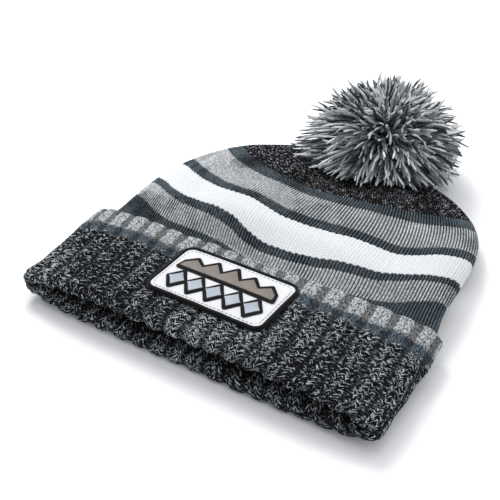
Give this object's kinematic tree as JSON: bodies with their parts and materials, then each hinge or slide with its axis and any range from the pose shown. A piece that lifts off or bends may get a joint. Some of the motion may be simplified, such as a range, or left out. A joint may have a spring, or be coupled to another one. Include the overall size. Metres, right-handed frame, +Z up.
{
  "type": "pom pom beanie",
  "caption": "Knitted winter hat lying flat: chunky ribbed turned-up cuff with a sewn patch, fine ribbed striped body and a cut-yarn pom tied to the crown.",
  "frame": {"origin": "middle of the footprint, on the table the hat lies on", "axes": "+X across the hat, +Y from the rim towards the crown and pom, +Z up, away from the table"},
  "size_m": [0.2238, 0.273, 0.073],
  "materials": {
    "black_marl_rib": "chunky two-strand black and grey marl knit",
    "slate_knit": "dark blue-grey acrylic knit",
    "light_grey_heather": "light grey heather acrylic knit",
    "white_knit": "plain white acrylic knit",
    "black_marl_fine": "black knit with fine grey flecks",
    "gather_yarn": "black drawstring yarn",
    "seam_thread": "black overlock thread",
    "patch_backing_felt": "stiff off-white backing felt",
    "patch_twill_white": "white polyester twill",
    "border_thread": "black merrow thread, satin",
    "sewing_thread": "blue-grey sewing thread",
    "motif_black_thread": "black embroidery thread, satin",
    "motif_taupe_thread": "taupe embroidery thread, satin",
    "motif_silver_thread": "silver-blue embroidery thread, satin",
    "pom_yarn": "cut acrylic yarn in white, greys and slate",
    "tie_thread": "waxed black thread",
    "washer_felt": "dense charcoal felt",
    "label_tape": "blank white woven label tape"
  },
  "bodies": {
    "hat": {"cuff_marl_rib": "black_marl_rib", "cuff_slate_band": "slate_knit", "cuff_light_grey_edge": "light_grey_heather", "slate_stripe_1": "slate_knit", "light_grey_stripe_1": "light_grey_heather", "slate_stripe_2": "slate_knit", "white_stripe": "white_knit", "slate_stripe_3": "slate_knit", "light_grey_stripe_2": "light_grey_heather", "slate_stripe_4": "slate_knit", "crown_black_marl": "black_marl_fine", "crown_gather_yarn": "gather_yarn", "inside_felt_washer": "washer_felt", "inside_tie_knot": "tie_thread", "back_seam": "seam_thread", "care_label": "label_tape", "care_label_stitches": "sewing_thread"},
    "front_cuff": {"cuff_marl_rib_flap": "black_marl_rib", "cuff_slate_band_flap": "slate_knit", "cuff_light_grey_edge_flap": "light_grey_heather", "patch_backing": "patch_backing_felt", "patch_twill": "patch_twill_white", "patch_merrowed_border": "border_thread", "patch_sewing_line": "sewing_thread", "motif_black_outline": "motif_black_thread", "motif_taupe_ridge": "motif_taupe_thread", "motif_silver_diamonds": "motif_silver_thread"},
    "pom_tie": {"pom_tie_cord": "tie_thread"},
    "pom": {"pom_yarn": "pom_yarn", "pom_binding_thread": "tie_thread"}
  },
  "joints": [
    {"name": "cuff_lift", "type": "hinge", "parent": "hat", "child": "front_cuff", "pos_m": [0, -0.12465, 0.02625], "axis": [1, 0, 0], "range_deg": [0, 20]},
    {"name": "pom_tilt", "type": "hinge", "parent": "hat", "child": "pom_tie", "pos_m": [-0.0005, 0.0745, 0.0205], "axis": [1, 0, 0], "range_deg": [0, 20]},
    {"name": "pom_twist", "type": "hinge", "parent": "pom_tie", "child": "pom", "pos_m": [-0.0005, 0.0745, 0.0205], "axis": [0, 0.6946, 0.7194], "range_deg": [-30, 30]}
  ]
}
